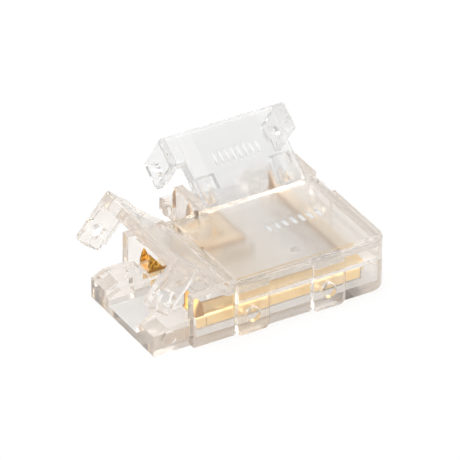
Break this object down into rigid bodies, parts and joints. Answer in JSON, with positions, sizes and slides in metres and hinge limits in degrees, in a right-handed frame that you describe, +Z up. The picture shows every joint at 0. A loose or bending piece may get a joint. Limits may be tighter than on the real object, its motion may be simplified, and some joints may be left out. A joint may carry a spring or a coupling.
{
  "type": "led strip connector",
  "caption": "Clear L-shaped snap connector with hinged clamp flaps and folded metal contacts, joining flat LED strips at a right angle.",
  "frame": {"origin": "point on the underside where the centre lines of the two strips cross", "axes": "left arm along -X, back arm along +Y, +Z up out of the cover"},
  "size_m": [0.0249, 0.0217, 0.0099],
  "materials": {
    "clear_base": "gloss",
    "clear_cover": "gloss rim, frosted panel",
    "clear_flap": "gloss rim, frosted panel",
    "contact_metal": "bright, gold tinted"
  },
  "bodies": {
    "housing": {"base_housing": "clear_base", "top_cover": "clear_cover", "outer_contact": "contact_metal", "inner_contact": "contact_metal"},
    "left_flap": {"left_flap": "clear_flap"},
    "back_flap": {"back_flap": "clear_flap"}
  },
  "joints": [
    {"name": "left_flap_hinge", "type": "hinge", "parent": "housing", "child": "left_flap", "pos_m": [-0.00975, 0, 0.00455], "axis": [0, 1, 0], "range_deg": [-40.6, 49.4]},
    {"name": "back_flap_hinge", "type": "hinge", "parent": "housing", "child": "back_flap", "pos_m": [0, 0.00646, 0.00455], "axis": [1, 0, 0], "range_deg": [-34, 56]}
  ]
}
